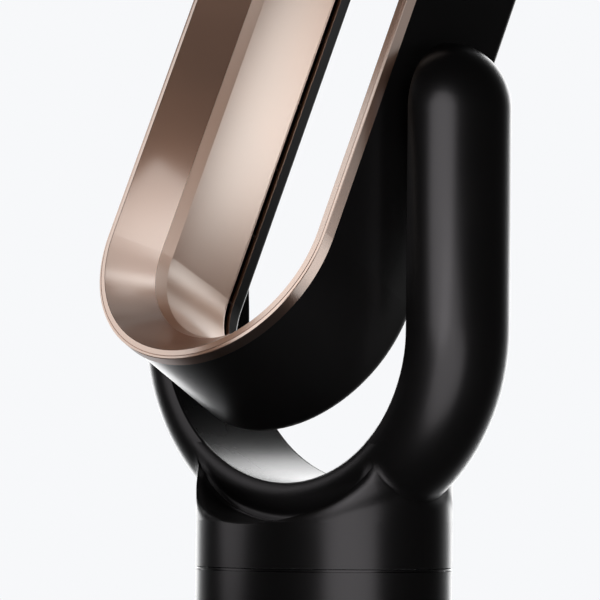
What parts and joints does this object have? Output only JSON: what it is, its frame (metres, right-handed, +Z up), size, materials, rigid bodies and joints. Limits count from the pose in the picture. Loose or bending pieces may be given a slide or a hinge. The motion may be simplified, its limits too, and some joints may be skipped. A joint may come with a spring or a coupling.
{
  "type": "bladeless fan",
  "caption": "Bladeless fan: a tall rounded air loop with a bronze inner face, tilting between the arms of a fork on a round column with a filter and a hidden impeller.",
  "frame": {"origin": "middle of the underside, on the column's axis, level with the soles of the feet", "axes": "+Z up along the column, +X along the tilt pivot to the fan's left as seen from the front, -Y to the front where the air leaves"},
  "size_m": [0.3428, 0.3563, 0.9632],
  "materials": {
    "black_plastic": "satin",
    "cover_plastic": "satin",
    "bronze": "satin metallic lacquer",
    "ring_plastic": "matte",
    "button_plastic": "satin",
    "display_gloss": "gloss",
    "inlet_plastic": "matte",
    "grey_plastic": "matte",
    "impeller_plastic": "matte",
    "acetal": "smooth",
    "motor_metal": "brushed",
    "steel": "turned",
    "rubber": "matte",
    "filter_paper": "pleated paper",
    "circuit_board": "lacquered"
  },
  "bodies": {
    "base": {"base_tray": "black_plastic", "mains_inlet": "inlet_plastic", "power_supply": "grey_plastic", "rubber_feet": "rubber", "base_screws": "steel", "intake_shroud": "black_plastic", "filter_base": "grey_plastic", "filter_core": "grey_plastic", "filter_media": "filter_paper", "filter_cap_lower": "grey_plastic", "filter_cap_upper": "grey_plastic", "filter_gasket": "rubber", "upper_drum": "black_plastic", "display_window": "display_gloss", "control_board": "circuit_board", "fan_housing": "grey_plastic", "fan_motor": "motor_metal", "guide_vanes": "grey_plastic", "swivel_bearing": "acetal", "swivel_ring": "ring_plastic", "swivel_motor": "motor_metal"},
    "fork": {"fork_shell": "black_plastic", "fork_inner_cover": "cover_plastic", "turntable": "grey_plastic", "swivel_gear": "acetal", "pivot_bush_right": "acetal", "pivot_bush_left": "acetal", "tilt_motor": "motor_metal"},
    "loop": {"loop_outer_shell": "black_plastic", "front_rim_ring": "bronze", "diffuser_ring": "bronze", "throat_liner": "bronze", "slot_ring": "bronze", "slot_spacers": "grey_plastic", "trunnion_right": "ring_plastic", "trunnion_left": "ring_plastic", "pivot_clip_right": "steel", "pivot_clip_left": "steel", "tilt_gear": "acetal"},
    "tilt_drive": {"tilt_pinion": "acetal"},
    "swivel_drive": {"swivel_pinion": "acetal"},
    "fan_rotor": {"impeller": "impeller_plastic", "motor_shaft": "steel"},
    "button": {"power_button": "button_plastic"}
  },
  "joints": [
    {"name": "fork_swivel", "type": "hinge", "parent": "base", "child": "fork", "pos_m": [0, 0, 0.33], "axis": [0, 0, 1], "range_deg": [-45, 45]},
    {"name": "loop_tilt", "type": "hinge", "parent": "fork", "child": "loop", "pos_m": [0, 0, 0.6944], "axis": [-1, 0, 0], "range_deg": [-47.9, 62.1]},
    {"name": "tilt_drive_spin", "type": "hinge", "parent": "fork", "child": "tilt_drive", "pos_m": [0.1456, 0, 0.6534], "axis": [-1, 0, 0], "range_deg": [-221, 171]},
    {"name": "swivel_drive_spin", "type": "hinge", "parent": "base", "child": "swivel_drive", "pos_m": [0, 0.081, 0.33], "axis": [0, 0, 1], "range_deg": [-361, 361]},
    {"name": "fan_spin", "type": "hinge", "parent": "base", "child": "fan_rotor", "pos_m": [0, 0, 0.26], "axis": [0, 0, 1], "continuous": true},
    {"name": "button_press", "type": "slide", "parent": "base", "child": "button", "axis": [0, 1, 0], "range_m": [0, 0.0015], "stiffness_N_per_m": 400, "springref_m": -0.002}
  ],
  "couplings": [
    {"joint": "tilt_drive_spin", "follows": "loop_tilt", "ratio": -3.5556},
    {"joint": "swivel_drive_spin", "follows": "fork_swivel", "ratio": -8}
  ]
}
